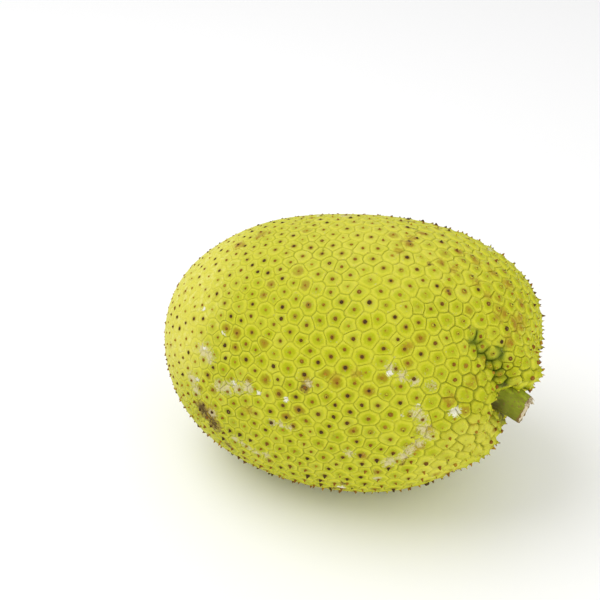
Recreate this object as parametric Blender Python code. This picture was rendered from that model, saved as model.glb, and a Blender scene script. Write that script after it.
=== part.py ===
"""A breadfruit with its cut stem, lying on its side on a small flat spot.

Two pieces: the fruit, whose rind is a pavement of polygonal discs, each a low dome with one hard
point at its middle, and the stem, which stands in the funnel at the fruit's end.

Metres, +Z up. The long axis lies along X with the stem end towards +X, and the origin is in the
middle of the flat spot. Run it with blender --background --python part.py.
"""

import math

import bmesh
import bpy
import numpy as np
from mathutils import Euler, Vector

# The smooth body under the discs. Its own frame has the long axis along X and its centre at the
# origin, and a direction in it means a point of the unit sphere that is stretched into the body.
HALF_SIZE = np.array((0.0920, 0.0675, 0.0665))
SHOULDERS = 0.03  # how much fuller than an ellipsoid it is between the middle and the ends
BODY_TURN = Euler((0, math.radians(-6), 0))  # the stem end lies a little higher than the other
SINK = 0.0019  # how deep its weight has pressed the lowest side flat

# Broad swellings and hollows of the body: (direction, spread in radians, share of the radius).
SWELLINGS = (
    ((0.75, 0.57, 0.32), 0.30, 0.050),
    ((0.93, 0.34, -0.13), 0.38, 0.010),
    ((0.80, -0.05, -0.60), 0.30, -0.050),
    ((0.40, -0.40, -0.83), 0.30, 0.052),
    ((0.05, -0.55, -0.83), 0.38, 0.062),
    ((-0.05, 0.55, 0.83), 0.38, -0.045),
    ((-0.84, -0.03, 0.53), 0.30, 0.012),
    ((-0.93, -0.34, 0.13), 0.38, 0.010),
    ((-0.30, 0.90, -0.30), 0.40, 0.018),
    ((0.45, 0.80, -0.40), 0.30, -0.014),
    ((-0.50, -0.80, 0.35), 0.30, -0.010),
    ((0.87, 0.37, 0.33), 0.22, 0.022),
    ((0.30, 0.45, 0.84), 0.30, 0.012),
    ((-0.65, -0.62, -0.44), 0.30, 0.016),
    ((-0.26, -0.73, -0.63), 0.30, 0.024),
    ((-0.72, 0.25, 0.64), 0.25, -0.020),
    ((0.72, -0.55, -0.43), 0.12, 0.024),
    ((0.97, 0.06, 0.20), 0.24, 0.034),
    ((0.93, -0.18, -0.32), 0.12, -0.045),
    # A crease runs up from the funnel, with a lobe beside it that hangs over the stem.
    ((0.87, -0.47, 0.12), 0.06, -0.050),
    ((0.84, -0.47, 0.26), 0.06, -0.050),
    ((0.79, -0.47, 0.38), 0.06, -0.034),
    ((0.94, -0.29, 0.17), 0.09, 0.040),
    ((0.965, -0.26, 0.02), 0.09, 0.040),
)

# The funnel that the stem stands in, as angles round the direction that it lies in. It is pushed
# into the body along the stem, and its wall flares from steep at the stem to level at the mouth.
FUNNEL_MIDDLE = (1.0, -0.373, -0.145)
STEM_TOWARD = (0.87, -0.26, -0.42)
FUNNEL_FLOOR = 0.115
FUNNEL_MOUTH = 0.33
FUNNEL_DEPTH = 0.015
FUNNEL_FLARE = 2.2
LIP_HEIGHT = 0.0018
LIP_PLACE = 1.15  # of the mouth's angle
LIP_SPREAD = 0.4
LOBE_SIDE = (0.35, 0.62, 0.70)  # the funnel is narrower on the side of the lobe
LOBE_SHUTS = 0.75

# The discs: fewer and larger than the real ones, which are about 7 mm across.
DISCS = 1170
DISC_SEED = 3
SEED_JITTER = 0.25  # of the distance between neighbours
LEAST_APART = 0.60  # of it too: one of any two discs nearer than this is left out
RELAXATIONS = 6
STEM_END_GROWTH = 0.14  # discs are this much wider at the stem end than at the middle
GROOVE_DEPTH = 0.0013
DOME_HEIGHT = 0.0004
SCALE_SWELL = 0.0018  # the discs round the funnel stand up as scales
# These scales are long, and stand in rings: (angle from the funnel's middle, how many).
SCALE_RINGS = ((0.001, 1), (0.10, 6), (0.225, 11), (0.385, 17))
SCALE_WAVER = 0.16  # how far a scale strays from its place, in shares of a scale's width
SCALES_END = 0.475

# The hard point of each disc, three-sided: tall and sharp at the stem end, low at the other.
POINT_HEIGHT = 0.0019
POINT_GROWTH = 0.35
POINT_RADIUS = 0.0013
POINT_ROOM = 0.45  # the most of the way to the disc's nearest corner that its foot takes up
POINT_SIDES = 3
POINT_LEAN = 0.25  # of its height

# The stem, bowed upwards, cut off aslant, and torn along the upper edge of the cut.
STEM_RADIUS = 0.0064
STEM_SIDES = 20
STEM_RINGS = 8
STEM_ROOT = 0.005  # how far it goes into the fruit below the funnel's floor
STEM_LENGTH = 0.0275
STEM_BOW = 0.0016
STEM_FLARE = 0.08
STEM_FOOT = 0.0030  # how much wider it is at the root, where it spreads to the side below
FOOT_SIDE = (-0.7, -0.7)  # the way it spreads there, across the stem's own frame
SOCKET_GAP = 0.0004
CUT_FACES = (1.0, 0.03, 0.15)  # the way the cut looks, in the stem's own frame
CUT_INSET = 0.0011
TEAR_LENGTH = 0.0026

TABLE_SIZE = (0.3, 0.3, 0.02)

GOLDEN_ANGLE = math.pi * (3 - math.sqrt(5))
ASKEW = (0.31, 0.87, 0.38)  # some direction to measure turns from

RIND_GREEN = (0.56, 0.62, 0.05)
STEM_GREEN = (0.20, 0.25, 0.05)


def unit(vectors):
    """Each vector at length 1."""
    vectors = np.asarray(vectors, float)
    return vectors / np.linalg.norm(vectors, axis=-1, keepdims=True)


def eased(share):
    """0 below 0, 1 above 1, and smooth in between."""
    share = np.clip(share, 0, 1)
    return share * share * (3 - 2 * share)


def sideways(directions):
    """Two directions across each of these, at right angles, the second a left turn from the first."""
    side = unit(np.cross(directions, ASKEW))
    return side, np.cross(directions, side)


def funnel_angle(directions):
    """The angle between each direction and the funnel's middle, in shares of the mouth's."""
    middle = unit(FUNNEL_MIDDLE)
    angle = np.arccos(np.clip(directions @ middle, -1, 1))
    aside = (directions - middle) @ unit(LOBE_SIDE) / np.maximum(angle, 1e-6)
    return angle / FUNNEL_MOUTH * (1 + LOBE_SHUTS * eased(aside))


def body(directions):
    """Points of the smooth body in these directions."""
    along = directions[..., 0]
    swell = 1 + SHOULDERS * 4 * along**2 * (1 - along**2)
    for toward, spread, height in SWELLINGS:
        swell += height * np.exp((directions @ unit(toward) - 1) / spread**2)
    angle = funnel_angle(directions)
    floor = FUNNEL_FLOOR / FUNNEL_MOUTH
    to_mouth = np.clip((1 - angle) / (1 - floor), 0, 1)
    lip = np.exp(-(((angle - LIP_PLACE) / LIP_SPREAD) ** 2))
    out = LIP_HEIGHT * lip - FUNNEL_DEPTH * to_mouth**FUNNEL_FLARE
    return HALF_SIZE * directions * swell[..., None] + out[..., None] * unit(STEM_TOWARD)


def body_frames(directions):
    """The body's points in these directions, with two directions along its skin and its normal."""
    step = 0.01
    side, other = sideways(directions)
    along = unit(body(unit(directions + step * side)) - body(unit(directions - step * side)))
    up = unit(body(unit(directions + step * other)) - body(unit(directions - step * other)))
    normal = unit(np.cross(along, up))
    return body(directions), along, np.cross(normal, along), normal


def spiral_seeds(count):
    """Directions on a spiral, even over the long body but for the growth of the discs."""
    length, girth = HALF_SIZE[0], HALF_SIZE[1]
    along = np.linspace(-1, 1, 4001)
    area = np.sqrt(length**2 * (1 - along**2) + girth**2 * along**2)
    discs_below = np.cumsum(area / (1 + STEM_END_GROWTH * along) ** 2)
    along = np.interp((np.arange(count) + 0.5) / count, discs_below / discs_below[-1], along)
    turn = GOLDEN_ANGLE * np.arange(count)
    girth_share = np.sqrt(1 - along**2)
    return np.stack((along, girth_share * np.cos(turn), girth_share * np.sin(turn)), axis=1)


def disc_seeds(rng):
    """A direction for each disc, and whether it stands fast in a ring of scales."""
    spacing = math.sqrt(4 * math.pi / DISCS)
    loose = spiral_seeds(DISCS)
    loose = unit(loose + rng.normal(size=loose.shape) * SEED_JITTER * spacing)
    loose = loose[funnel_angle(loose) * FUNNEL_MOUTH > SCALES_END]
    nearness = np.triu(loose @ loose.T, 1).max(axis=0)
    loose = loose[nearness < math.cos(LEAST_APART * spacing)]
    middle = unit(FUNNEL_MIDDLE)
    side, other = sideways(middle)
    scales = []
    for ring, (angle, count) in enumerate(SCALE_RINGS):
        waver = rng.uniform(-SCALE_WAVER, SCALE_WAVER, count)
        turns = 2 * math.pi * (np.arange(count) + ring / 2 + waver) / count
        away = np.outer(np.cos(turns), side) + np.outer(np.sin(turns), other)
        scales.append(math.cos(angle) * middle + math.sin(angle) * away)
    scales = unit(np.concatenate(scales))
    return np.concatenate((loose, scales)), np.arange(len(loose) + len(scales)) >= len(loose)


def round_spot_tilts():
    """Tilts on the body, and those on a ball on which round spots are round on the body too."""
    length, girth = HALF_SIZE[0], HALF_SIZE[1]
    tilts = np.linspace(-math.pi / 2, math.pi / 2, 4003)[1:-1]
    slant = np.hypot(length * np.cos(tilts), girth * np.sin(tilts)) / (girth * np.cos(tilts))
    run = np.cumsum(slant) * (tilts[1] - tilts[0])
    return tilts, np.arctan(np.sinh(run - run[len(run) // 2]))


def moved_along(directions, tilts, new_tilts):
    """Directions whose tilt towards the stem end is looked up in one list and read from another."""
    along = np.sin(np.interp(np.arcsin(np.clip(directions[:, 0], -1, 1)), tilts, new_tilts))
    across = unit(directions[:, 1:]) * np.sqrt(1 - along**2)[:, None]
    return np.concatenate((along[:, None], across), axis=1)


def pavement(rng):
    """The discs as (middles, corners, rings): directions, and each disc's corners in order.

    It is laid on a ball, and then moved along the long body so that the discs stay round. A hull
    round the middles joins each to its neighbours, and each triangle of it gives a corner that is
    equally far from three middles. Each loose middle then moves to the middle of its own disc, a
    few times over, and at last the corners are drawn in, so that no side is too short.
    """
    middles, fast = disc_seeds(rng)
    body_tilts, ball_tilts = round_spot_tilts()
    middles = moved_along(middles, body_tilts, ball_tilts)
    for _ in range(RELAXATIONS):
        hull = bmesh.new()
        for middle in middles:
            hull.verts.new(middle)
        bmesh.ops.convex_hull(hull, input=hull.verts)
        hull.faces.index_update()
        hull.normal_update()
        corners = unit([face.normal for face in hull.faces])
        corners *= np.sign([face.normal @ face.verts[0].co for face in hull.faces])[:, None]
        between = unit([face.calc_center_median() for face in hull.faces])
        rings = [ring_round(vert, between) for vert in hull.verts]
        hull.free()
        centres = unit([ring_middle(corners[[corner for _, corner in ring]]) for ring in rings])
        middles = np.where(fast[:, None], middles, centres)
    corners = unit(corners + between)
    middles = moved_along(middles, ball_tilts, body_tilts)
    return middles, moved_along(corners, ball_tilts, body_tilts), rings


def ring_round(vert, middles):
    """The hull's faces at this vertex as (turn, face), in order, anticlockwise from outside."""
    side, other = sideways(unit(vert.co))
    faces = [face.index for face in vert.link_faces]
    return sorted((math.atan2(middles[f] @ other, middles[f] @ side), f) for f in faces)


def ring_middle(corners):
    """The middle of a disc with these corners, each counted by the length of its two sides."""
    sides = np.linalg.norm(np.roll(corners, -1, axis=0) - corners, axis=1)
    return (sides + np.roll(sides, 1)) @ corners


def rind_mesh():
    """The whole rind as one closed mesh: each disc rises from its groove to its point's foot."""
    rng = np.random.default_rng(DISC_SEED)
    middles, corners, rings = pavement(rng)
    mesh = bmesh.new()
    rims, _, _, outward = body_frames(corners)
    groove = [mesh.verts.new(rim) for rim in rims - GROOVE_DEPTH * outward]
    feet, side, other, normal = body_frames(middles)
    crowding = eased(1.6 - funnel_angle(middles))
    heights = POINT_HEIGHT * (1 + POINT_GROWTH * middles[:, 0]) * (1 - 0.8 * crowding)
    heights *= rng.uniform(0.8, 1.2, len(middles))
    feet += (DOME_HEIGHT + SCALE_SWELL * crowding)[:, None] * normal
    tips = feet + heights[:, None] * unit(normal + POINT_LEAN * rng.normal(size=normal.shape))
    for disc, ring in enumerate(rings):
        tip = mesh.verts.new(tips[disc])
        nearest = min(np.linalg.norm(rims[corner] - feet[disc]) for _, corner in ring)
        radius = min(POINT_RADIUS, POINT_ROOM * nearest)
        foot = []
        for corner in range(POINT_SIDES):
            turn = ring[0][0] + 2 * math.pi * corner / POINT_SIDES
            reach = math.cos(turn) * side[disc] + math.sin(turn) * other[disc]
            vert = mesh.verts.new(feet[disc] + radius * reach)
            foot.append(((turn + math.pi) % (2 * math.pi) - math.pi, vert))
        foot.sort(key=lambda turn_and_vert: turn_and_vert[0])
        for (_, near), (_, far) in zip(foot, foot[1:] + foot[:1]):
            mesh.faces.new((near, far, tip))
        bridge(mesh, [(turn, groove[corner]) for turn, corner in ring], foot)
    return mesh


def bridge(mesh, outer, inner):
    """Triangles between two rings of (turn, vertex), both in order, one round the other."""
    steps = [(turn, 0, vert) for turn, vert in outer] + [(turn, 1, vert) for turn, vert in inner]
    reached = [outer[-1][1], inner[-1][1]]
    for _, ring, vert in sorted(steps, key=lambda step: step[:2]):
        mesh.faces.new((reached[0], vert, reached[1]))
        reached[ring] = vert


def tube_mesh(more_radius=0.0, more_length=0.0):
    """The stem uncut, along +X from its root, as a bevelled curve turned into a closed mesh."""
    curve = bpy.data.curves.new("stem line", "CURVE")
    curve.dimensions = "3D"
    curve.bevel_depth = STEM_RADIUS
    curve.bevel_resolution = STEM_SIDES // 2 - 2
    curve.use_fill_caps = True
    line = curve.splines.new("POLY")
    line.points.add(STEM_RINGS - 1)
    for index, point in enumerate(line.points):
        share = index / (STEM_RINGS - 1)
        along = share * (STEM_LENGTH + more_length)
        waist = math.sin(math.pi * share)
        foot = STEM_FOOT * max(0.0, 1 - along / STEM_LENGTH)
        side, up = foot * Vector(FOOT_SIDE)
        point.co = (along, side, up + STEM_BOW * waist, 1)
        point.radius = 1 + STEM_FLARE * (0.5 - waist) + (foot + more_radius) / STEM_RADIUS
    guide = bpy.data.objects.new("stem line", curve)
    bpy.context.scene.collection.objects.link(guide)
    evaluated = guide.evaluated_get(bpy.context.evaluated_depsgraph_get())
    data = bpy.data.meshes.new_from_object(evaluated)
    bpy.data.objects.remove(guide)
    mesh = bmesh.new()
    mesh.from_mesh(data)
    bmesh.ops.remove_doubles(mesh, verts=mesh.verts, dist=1e-6)
    return mesh


def cut_and_tear(mesh):
    """Cuts the far end of the stem off aslant, and pulls the upper edge of the cut into a rag."""
    everything = mesh.verts[:] + mesh.edges[:] + mesh.faces[:]
    middle = Vector((STEM_LENGTH, 0, 0))
    normal = Vector(CUT_FACES).normalized()
    cut = bmesh.ops.bisect_plane(
        mesh, geom=everything, plane_co=middle, plane_no=normal, clear_outer=True
    )
    rim = [edge for edge in cut["geom_cut"] if isinstance(edge, bmesh.types.BMEdge)]
    cap = bmesh.ops.contextual_create(mesh, geom=rim)["faces"]
    ring = cap[0].verts[:]
    bmesh.ops.inset_region(mesh, faces=cap, thickness=CUT_INSET, depth=0.0)
    bmesh.ops.poke(mesh, faces=cap)
    for index, vert in enumerate(ring):
        upper = max(0.0, vert.co.z / STEM_RADIUS)
        rag = (0.55, 1.0, 0.3, 0.8)[index % 4]
        vert.co.x += TEAR_LENGTH * rag * upper**2


def new_collection(name):
    made = bpy.data.collections.new(name)
    bpy.context.scene.collection.children.link(made)
    return made


def new_object(name, mesh, collection):
    """An object of this bmesh, in this collection."""
    data = bpy.data.meshes.new(name)
    mesh.to_mesh(data)
    mesh.free()
    made = bpy.data.objects.new(name, data)
    collection.objects.link(made)
    return made


def finish(part, colour, roughness, sharp_angle):
    """The part's material and shading."""
    material = bpy.data.materials.new(part.name)
    material.use_nodes = True
    shader = material.node_tree.nodes["Principled BSDF"]
    shader.inputs["Base Color"].default_value = (*colour, 1)
    shader.inputs["Roughness"].default_value = roughness
    shader.inputs["Metallic"].default_value = 0
    part.data.materials.append(material)
    part.data.shade_smooth()
    part.data.set_sharp_from_angle(angle=sharp_angle)


def cut_away(part, cutter):
    """Takes the cutter's shape out of the part."""
    cutter.hide_render = True
    cutter.display_type = "WIRE"
    boolean = part.modifiers.new(f"less {cutter.name}", "BOOLEAN")
    boolean.operation = "DIFFERENCE"
    boolean.object = cutter


def resting_place():
    """Where the body's centre lies when the body stands on the flat spot at the origin."""
    points = body(spiral_seeds(20000)) @ np.array(BODY_TURN.to_matrix()).T
    lowest = Vector(points[points[:, 2].argmin()])
    return -lowest - Vector((0, 0, SINK))


def make_fruit(collection, whole):
    fruit = new_object("fruit", rind_mesh(), collection)
    fruit.parent = whole
    finish(fruit, RIND_GREEN, roughness=0.5, sharp_angle=math.radians(15))
    return fruit


def stand_in_funnel(part, depth):
    """Places a shape that runs along +X with its root this far under the funnel's floor."""
    toward = Vector(STEM_TOWARD).normalized()
    part.location = Vector(body(unit(FUNNEL_MIDDLE))) - depth * toward
    part.rotation_euler = toward.to_track_quat("X", "Z").to_euler()


def make_stem(collection, whole):
    mesh = tube_mesh(more_length=STEM_RADIUS)
    cut_and_tear(mesh)
    stem = new_object("stem", mesh, collection)
    stem.parent = whole
    stand_in_funnel(stem, STEM_ROOT)
    finish(stem, STEM_GREEN, roughness=0.6, sharp_angle=math.radians(40))


def make_socket(collection, whole):
    """The room in the fruit for the stem, a little wider all round and deeper."""
    socket = new_object("socket", tube_mesh(SOCKET_GAP, STEM_RADIUS), collection)
    socket.parent = whole
    stand_in_funnel(socket, STEM_ROOT + SOCKET_GAP)
    return socket


def make_table(collection):
    """What the fruit lies on, up to Z = 0."""
    mesh = bmesh.new()
    bmesh.ops.create_cube(mesh, size=1)
    bmesh.ops.scale(mesh, vec=TABLE_SIZE, verts=mesh.verts)
    table = new_object("table", mesh, collection)
    table.location.z = -TABLE_SIZE[2] / 2
    return table


def main():
    for old in list(bpy.data.objects):
        bpy.data.objects.remove(old)
    parts = new_collection("breadfruit")
    cutters = new_collection("cutters")
    whole = bpy.data.objects.new("breadfruit", None)
    parts.objects.link(whole)
    whole.location = resting_place()
    whole.rotation_euler = BODY_TURN
    fruit = make_fruit(parts, whole)
    make_stem(parts, whole)
    cut_away(fruit, make_table(cutters))
    cut_away(fruit, make_socket(cutters, whole))


main()
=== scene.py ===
"""The looks of a breadfruit that lies on its side with its cut stem.

The rind is a pavement of polygonal discs with one hard point on each, and the stem stands in a
funnel at the right-hand end. Metres, +Z up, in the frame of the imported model: the long axis runs
along X, and the origin is in the middle of the flat spot that the fruit rests on.
"""

import math

import bmesh
import bpy
import numpy as np
from mathutils import Euler, Matrix, Vector


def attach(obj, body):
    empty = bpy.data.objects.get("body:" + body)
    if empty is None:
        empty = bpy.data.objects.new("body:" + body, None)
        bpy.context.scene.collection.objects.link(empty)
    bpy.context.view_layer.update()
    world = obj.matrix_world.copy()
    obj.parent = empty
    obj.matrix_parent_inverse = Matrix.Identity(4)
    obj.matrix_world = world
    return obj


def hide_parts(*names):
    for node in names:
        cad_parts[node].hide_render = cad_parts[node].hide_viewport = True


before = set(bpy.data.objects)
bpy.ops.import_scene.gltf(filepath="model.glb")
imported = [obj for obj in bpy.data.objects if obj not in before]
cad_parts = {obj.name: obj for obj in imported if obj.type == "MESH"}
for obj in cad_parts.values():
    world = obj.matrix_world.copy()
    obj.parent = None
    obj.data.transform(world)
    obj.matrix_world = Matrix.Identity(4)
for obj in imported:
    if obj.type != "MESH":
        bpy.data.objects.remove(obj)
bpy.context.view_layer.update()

# --------------------------------------------------
# The rind: flowers grown together, each of which leaves one disc with five to seven sides and a
# raised rim round a shallow dish. The discs crowd round the stem as long swollen scales, and run
# together into smooth skin at the other end.

HALF_SIZE = np.array((0.0920, 0.0675, 0.0665))
SHOULDERS = 0.03  # how much fuller than an ellipsoid the body is between the middle and the ends
BODY_TURN = Euler((0, math.radians(-6), 0))  # the stem end lies a little higher than the other
SINK = 0.0019  # how deep its weight has pressed the lowest side flat

# Broad swellings and hollows of the body: (direction, spread in radians, share of the radius).
SWELLINGS = (
    ((0.75, 0.57, 0.32), 0.30, 0.050),
    ((0.93, 0.34, -0.13), 0.38, 0.010),
    ((0.80, -0.05, -0.60), 0.30, -0.050),
    ((0.40, -0.40, -0.83), 0.30, 0.052),
    ((0.05, -0.55, -0.83), 0.38, 0.062),
    ((-0.05, 0.55, 0.83), 0.38, -0.045),
    ((-0.84, -0.03, 0.53), 0.30, 0.012),
    ((-0.93, -0.34, 0.13), 0.38, 0.010),
    ((-0.30, 0.90, -0.30), 0.40, 0.018),
    ((0.45, 0.80, -0.40), 0.30, -0.014),
    ((-0.50, -0.80, 0.35), 0.30, -0.010),
    ((0.87, 0.37, 0.33), 0.22, 0.022),
    ((0.30, 0.45, 0.84), 0.30, 0.012),
    ((-0.65, -0.62, -0.44), 0.30, 0.016),
    ((-0.26, -0.73, -0.63), 0.30, 0.024),
    ((-0.72, 0.25, 0.64), 0.25, -0.020),
    ((0.72, -0.55, -0.43), 0.12, 0.024),
    ((0.97, 0.06, 0.20), 0.24, 0.034),
    ((0.93, -0.18, -0.32), 0.12, -0.045),
    # A crease runs up from the funnel, with a lobe beside it that hangs over the stem.
    ((0.87, -0.47, 0.12), 0.06, -0.050),
    ((0.84, -0.47, 0.26), 0.06, -0.050),
    ((0.79, -0.47, 0.38), 0.06, -0.034),
    ((0.94, -0.29, 0.17), 0.09, 0.040),
    ((0.965, -0.26, 0.02), 0.09, 0.040),
)

# The funnel that the stem stands in. Its floor and its mouth are angles round its middle.
FUNNEL_MIDDLE = (1.0, -0.373, -0.145)
STEM_TOWARD = (0.87, -0.26, -0.42)
FUNNEL_FLOOR = 0.115
FUNNEL_MOUTH = 0.33
FUNNEL_DEPTH = 0.015
FUNNEL_FLARE = 2.2
LIP_HEIGHT = 0.0018
LIP_PLACE = 1.15  # of the mouth's angle
LIP_SPREAD = 0.4
LOBE_SIDE = (0.35, 0.62, 0.70)  # the funnel is narrower on the side of the lobe
LOBE_SHUTS = 0.75

DISCS = 2080
DISC_SEED = 5
FINE_STEPS = 4001  # along the fruit, where something is added up
REST_DIRECTIONS = 20000  # in which the body's lowest point is looked for
SEED_JITTER = 0.30  # of the distance between neighbours
LEAST_APART = 0.50  # of it too: of two nearer discs one is left out
RELAXATIONS = 5
# How wide the discs are along the fruit: (place, from -1 to 1 at the stem end, width).
DISC_WIDTHS = ((-1, 0.84), (-0.3, 0.92), (0.1, 1.08), (0.4, 1.16), (0.75, 1.0), (1, 0.88))
# Long scales stand in rings round the stem: (angle from the funnel's middle, number).
SCALE_RINGS = ((0.001, 1), (0.08, 6), (0.155, 12), (0.23, 18), (0.305, 24), (0.38, 29))
RING_STRAY = 0.06  # of the ring's angle
SCALE_STRAY = 0.16  # of the distance between neighbours in the ring
SCALES_END = 0.42  # radians from the funnel's middle
CROWDING_ENDS = 2.1  # of the mouth's angle
CROWDING_FADE = 1.1  # of it too
PRESSED = (0.905, -0.245, -0.345)  # on the lip under the stem the scales are pressed flat
PRESSED_SPREAD = 0.13
SIDE_WAVER = 0.004  # how far the middle of a disc's side strays, in radians
BLOSSOM_END = (-0.93, -0.10, 0.36)  # where the discs have run together into smooth skin
SMOOTH_SKIN = 0.38  # radians round it that are quite smooth
SMOOTH_FADE = 0.65
SMOOTH_RELIEF = 0.32  # how far discs stand out there, where those of the fruit's middle have 1
STEM_RELIEF = 0.6  # what the stem end's have more

GOLDEN_ANGLE = math.pi * (3 - math.sqrt(5))
ASKEW = (0.31, 0.87, 0.38)  # some direction to measure turns from


def unit(vectors):
    """Each vector at length 1."""
    vectors = np.asarray(vectors, float)
    return vectors / np.linalg.norm(vectors, axis=-1, keepdims=True)


def eased(share):
    """0 below 0, 1 above 1, and smooth in between."""
    share = np.clip(share, 0, 1)
    return share * share * (3 - 2 * share)


def sideways(directions):
    """Two directions across each of these, at right angles, the second a left turn from the first."""
    side = unit(np.cross(directions, ASKEW))
    return side, np.cross(directions, side)


def funnel_angle(directions):
    """The angle between each direction and the funnel's middle, in shares of the mouth's."""
    middle = unit(FUNNEL_MIDDLE)
    angle = np.arccos(np.clip(directions @ middle, -1, 1))
    aside = (directions - middle) @ unit(LOBE_SIDE) / np.maximum(angle, 1e-6)
    return angle / FUNNEL_MOUTH * (1 + LOBE_SHUTS * eased(aside))


def body(directions):
    """Points of the smooth body in these directions, in the body's own frame."""
    along = directions[..., 0]
    swell = 1 + SHOULDERS * 4 * along**2 * (1 - along**2)
    for toward, spread, height in SWELLINGS:
        swell += height * np.exp((directions @ unit(toward) - 1) / spread**2)
    angle = funnel_angle(directions)
    floor = FUNNEL_FLOOR / FUNNEL_MOUTH
    to_mouth = np.clip((1 - angle) / (1 - floor), 0, 1)
    lip = np.exp(-(((angle - LIP_PLACE) / LIP_SPREAD) ** 2))
    out = LIP_HEIGHT * lip - FUNNEL_DEPTH * to_mouth**FUNNEL_FLARE
    return HALF_SIZE * directions * swell[..., None] + out[..., None] * unit(STEM_TOWARD)


def spiral_seeds(count):
    """Directions on a spiral over the long body, further apart where the discs are wider."""
    length, girth = HALF_SIZE[:2]
    along = np.linspace(-1, 1, FINE_STEPS)
    area = np.sqrt(length**2 * (1 - along**2) + girth**2 * along**2)
    discs_below = np.cumsum(area / np.interp(along, *zip(*DISC_WIDTHS)) ** 2)
    along = np.interp((np.arange(count) + 0.5) / count, discs_below / discs_below[-1], along)
    turn = GOLDEN_ANGLE * np.arange(count)
    girth_share = np.sqrt(1 - along**2)
    return np.stack((along, girth_share * np.cos(turn), girth_share * np.sin(turn)), axis=1)


def moved_along(directions, tilts, new_tilts):
    """Directions whose tilt towards the stem end is read from one list and replaced from another."""
    along = np.sin(np.interp(np.arcsin(np.clip(directions[:, 0], -1, 1)), tilts, new_tilts))
    across = unit(directions[:, 1:]) * np.sqrt(1 - along**2)[:, None]
    return np.concatenate((along[:, None], across), axis=1)


def round_spot_tilts():
    """Tilts on the body, and those on a ball on which round spots are round on the body too."""
    length, girth = HALF_SIZE[:2]
    tilts = np.linspace(-math.pi / 2, math.pi / 2, FINE_STEPS + 2)[1:-1]
    slant = np.hypot(length * np.cos(tilts), girth * np.sin(tilts)) / (girth * np.cos(tilts))
    run = np.cumsum(slant) * (tilts[1] - tilts[0])
    return tilts, np.arctan(np.sinh(run - run[len(run) // 2]))


def resting_place():
    """Where the body's centre lies when the body stands on the flat spot at the origin."""
    points = body(spiral_seeds(REST_DIRECTIONS)) @ np.array(BODY_TURN.to_matrix()).T
    lowest = Vector(points[points[:, 2].argmin()])
    return -lowest - Vector((0, 0, SINK))


WHOLE_PLACE = Matrix.Translation(resting_place()) @ BODY_TURN.to_matrix().to_4x4()


def placed(points):
    """Points of the body's own frame as they lie on the floor."""
    return points @ np.array(WHOLE_PLACE.to_3x3()).T + np.array(WHOLE_PLACE.translation)


def skin_frames(directions):
    """The skin's places in these directions, as they lie on the floor, and the ways out of it."""
    step = 0.01
    side, other = sideways(directions)
    along = body(unit(directions + step * side)) - body(unit(directions - step * side))
    up = body(unit(directions + step * other)) - body(unit(directions - step * other))
    turn = np.array(WHOLE_PLACE.to_3x3()).T
    return placed(body(directions)), unit(np.cross(along, up)) @ turn


def disc_seeds(rng):
    """A direction for each disc, and whether it stands fast in a ring of scales."""
    loose = spiral_seeds(DISCS)
    spacing = math.sqrt(4 * math.pi / DISCS)
    loose = unit(loose + rng.normal(size=loose.shape) * SEED_JITTER * spacing)
    loose = loose[funnel_angle(loose) * FUNNEL_MOUTH > SCALES_END]
    nearness = np.triu(loose @ loose.T, 1).max(axis=0)
    loose = loose[nearness < math.cos(LEAST_APART * spacing)]
    middle = unit(FUNNEL_MIDDLE)
    side, other = sideways(middle)
    scales = []
    for ring, (angle, count) in enumerate(SCALE_RINGS):
        for index in range(count):
            place = index + ring / 2 + rng.uniform(-SCALE_STRAY, SCALE_STRAY)
            turn = 2 * math.pi * place / count
            away = math.cos(turn) * side + math.sin(turn) * other
            reach = angle * rng.uniform(1 - RING_STRAY, 1 + RING_STRAY)
            scales.append(math.cos(reach) * middle + math.sin(reach) * away)
    fast = np.arange(len(loose) + len(scales)) >= len(loose)
    return np.concatenate((loose, unit(scales))), fast


def ring_round(vert, middles):
    """The hull's faces at this vertex, in order, anticlockwise from outside."""
    side, other = sideways(unit(vert.co))
    faces = [face.index for face in vert.link_faces]
    return sorted(faces, key=lambda f: math.atan2(middles[f] @ other, middles[f] @ side))


def ring_middle(corners):
    """The middle of a disc with these corners, each counted by the length of its two sides."""
    sides = np.linalg.norm(np.roll(corners, -1, axis=0) - corners, axis=1)
    return (sides + np.roll(sides, 1)) @ corners


def pavement(rng):
    """The discs as (middles, corners, rings): directions, and each disc's corners in order.

    It is laid on a ball, and then moved along the long body so that the discs stay round. A hull
    round the middles joins each to its neighbours, and each triangle of it gives a corner that is
    equally far from three middles. Each loose middle then moves to the middle of its own disc, a
    few times over, and at last the corners are drawn in, so that no side is too short.
    """
    middles, fast = disc_seeds(rng)
    body_tilts, ball_tilts = round_spot_tilts()
    middles = moved_along(middles, body_tilts, ball_tilts)
    for _ in range(RELAXATIONS):
        hull = bmesh.new()
        for middle in middles:
            hull.verts.new(middle)
        bmesh.ops.convex_hull(hull, input=hull.verts)
        hull.faces.index_update()
        hull.normal_update()
        corners = unit([face.normal for face in hull.faces])
        corners *= np.sign([face.normal @ face.verts[0].co for face in hull.faces])[:, None]
        between = unit([face.calc_center_median() for face in hull.faces])
        rings = [ring_round(vert, between) for vert in hull.verts]
        hull.free()
        centres = unit([ring_middle(corners[ring]) for ring in rings])
        middles = np.where(fast[:, None], middles, centres)
    corners = unit(corners + between)
    middles = moved_along(middles, ball_tilts, body_tilts)
    return middles, moved_along(corners, ball_tilts, body_tilts), rings


def store(data, **columns):
    """Stores one value a vertex, or else one a face, in the mesh under each of these names."""
    for name, values in columns.items():
        values = np.asarray(values, np.float32)
        kind, field = ("FLOAT", "value") if values.ndim == 1 else ("FLOAT_VECTOR", "vector")
        domain = "POINT" if len(values) == len(data.vertices) else "FACE"
        data.attributes.new(name, kind, domain).data.foreach_set(field, values.ravel())


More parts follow.
